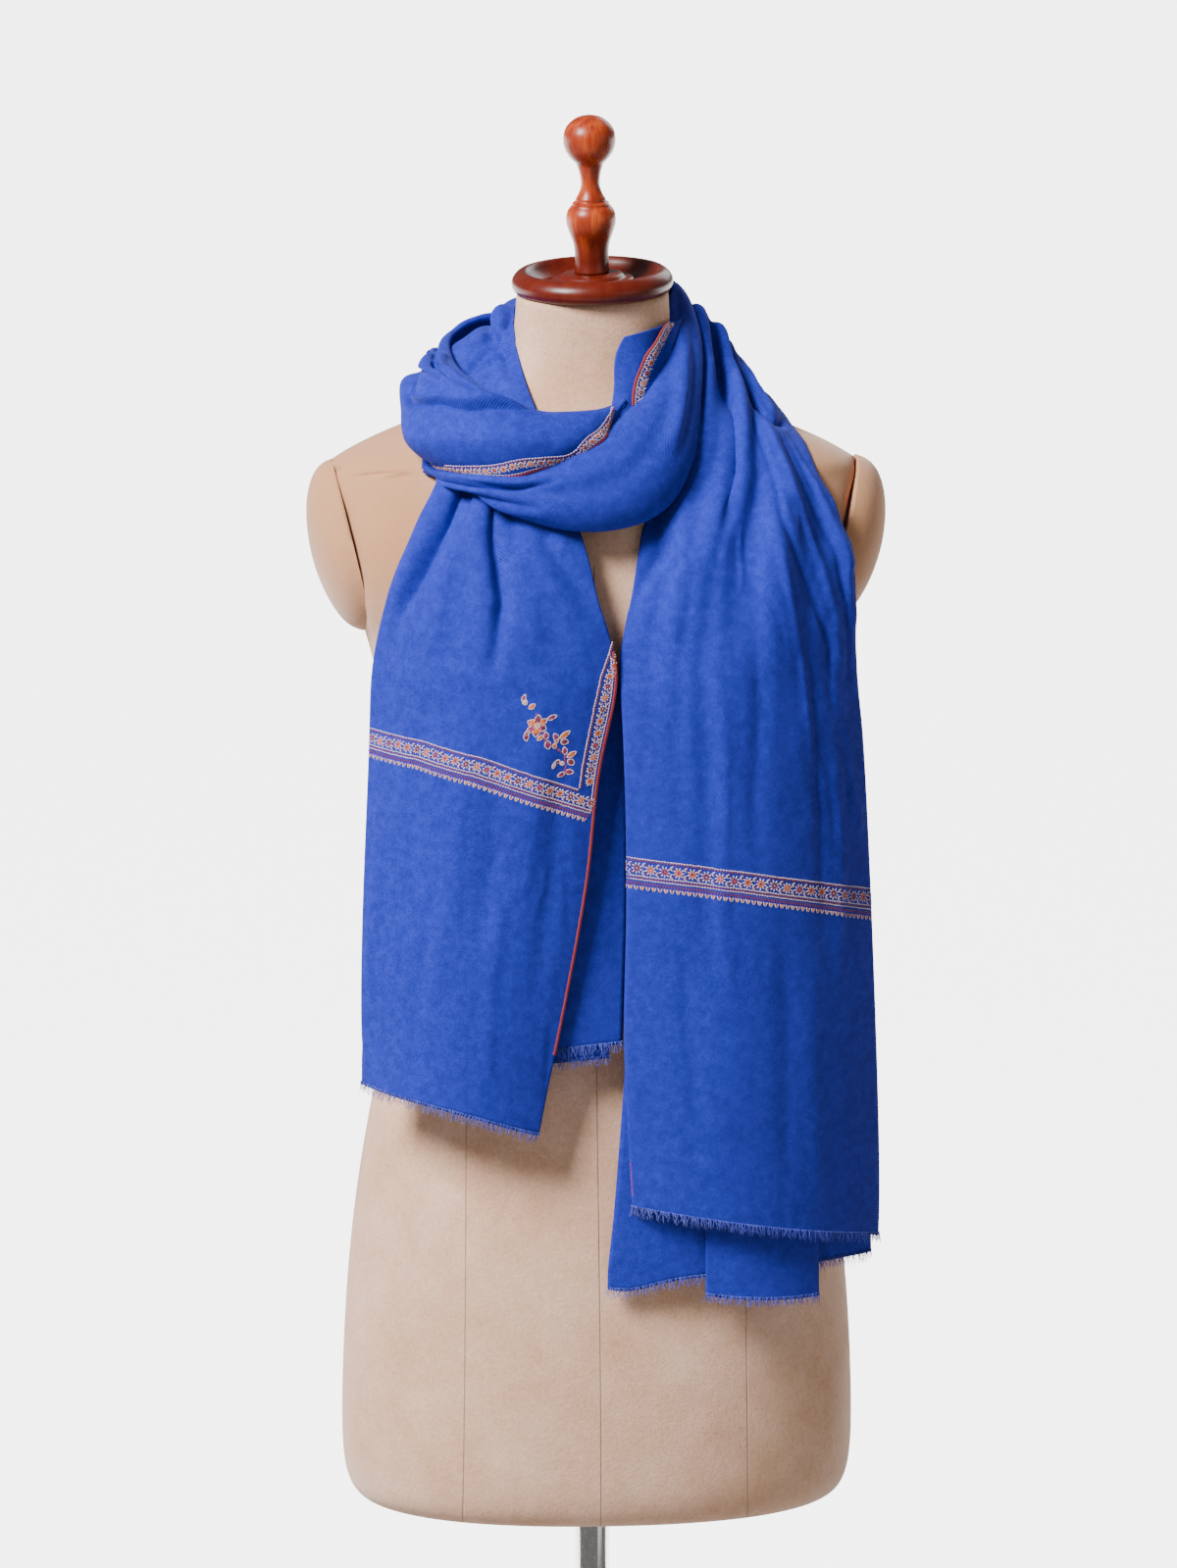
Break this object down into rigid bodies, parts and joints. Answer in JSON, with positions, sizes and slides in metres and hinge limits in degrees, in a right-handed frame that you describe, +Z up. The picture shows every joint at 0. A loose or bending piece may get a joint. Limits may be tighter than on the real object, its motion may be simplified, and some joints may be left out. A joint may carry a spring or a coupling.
{
  "type": "embroidered wool shawl on limbless dress form",
  "caption": "Long wool shawl with fringed hems, looped loosely round the neck of a limbless dress form with a turned wooden neck cap and finial on a chrome pole stand.",
  "frame": {"origin": "middle of the base's underside, on the pole's axis", "axes": "+Z up along the pole; -Y towards the front of the form; +X towards the viewer's right when facing the front"},
  "size_m": [0.398, 0.33, 1.6565],
  "materials": {
    "form_cloth": "matt beige suede-like cover",
    "shawl_cloth": "fine royal blue wool twill",
    "cap_wood": "turned, stained red-brown and glossy",
    "stand_metal": "polished chrome"
  },
  "bodies": {
    "root": {"base": "stand_metal", "pole": "stand_metal", "collar": "stand_metal", "dress_form": "form_cloth", "shoulder_cap_left": "form_cloth", "shoulder_cap_right": "form_cloth", "neck_cap": "cap_wood", "finial": "cap_wood", "neck_inner": "shawl_cloth", "loop_lip": "shawl_cloth", "loop_lower": "shawl_cloth", "loop_upper": "shawl_cloth", "outer_back": "shawl_cloth", "long_end": "shawl_cloth", "long_end_pleat": "shawl_cloth", "long_end_under": "shawl_cloth", "short_end": "shawl_cloth", "short_end_under": "shawl_cloth", "short_end_inner": "shawl_cloth", "long_end_fringe": "shawl_cloth", "long_end_pleat_fringe": "shawl_cloth", "long_end_under_fringe": "shawl_cloth", "short_end_fringe": "shawl_cloth", "short_end_under_fringe": "shawl_cloth", "short_end_inner_fringe": "shawl_cloth"}
  },
  "joints": []
}
